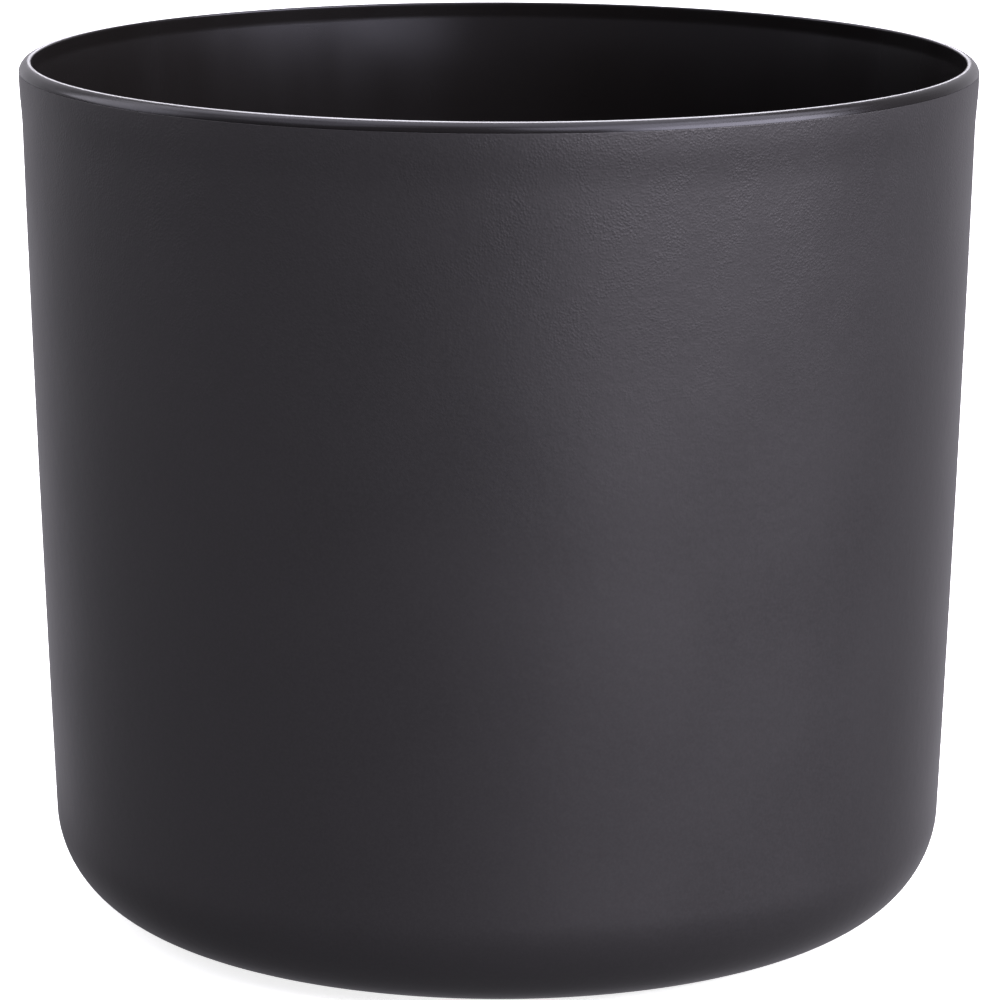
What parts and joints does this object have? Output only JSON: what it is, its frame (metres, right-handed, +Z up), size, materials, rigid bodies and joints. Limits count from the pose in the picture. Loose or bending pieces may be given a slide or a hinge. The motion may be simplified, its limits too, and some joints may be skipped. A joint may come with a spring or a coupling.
{
  "type": "empty candle jar",
  "caption": "Open-topped round candle jar of dark glass with a matte sprayed outer coat, slightly tapered wall, rounded heel, thin polished lip and flat bearing ring.",
  "frame": {"origin": "centre of the circle that the jar stands on, on the table plane", "axes": "+Z up along the jar's axis of revolution; +X and +Y are free, because the jar is round"},
  "size_m": [0.1104, 0.1104, 0.1],
  "materials": {
    "black_glass": "polished lip, satin inside",
    "matte_coat": "matte sprayed lacquer, fine orange-peel grain"
  },
  "bodies": {
    "root": {"glass_vessel": "black_glass", "matte_outer_coat": "matte_coat"}
  },
  "joints": []
}
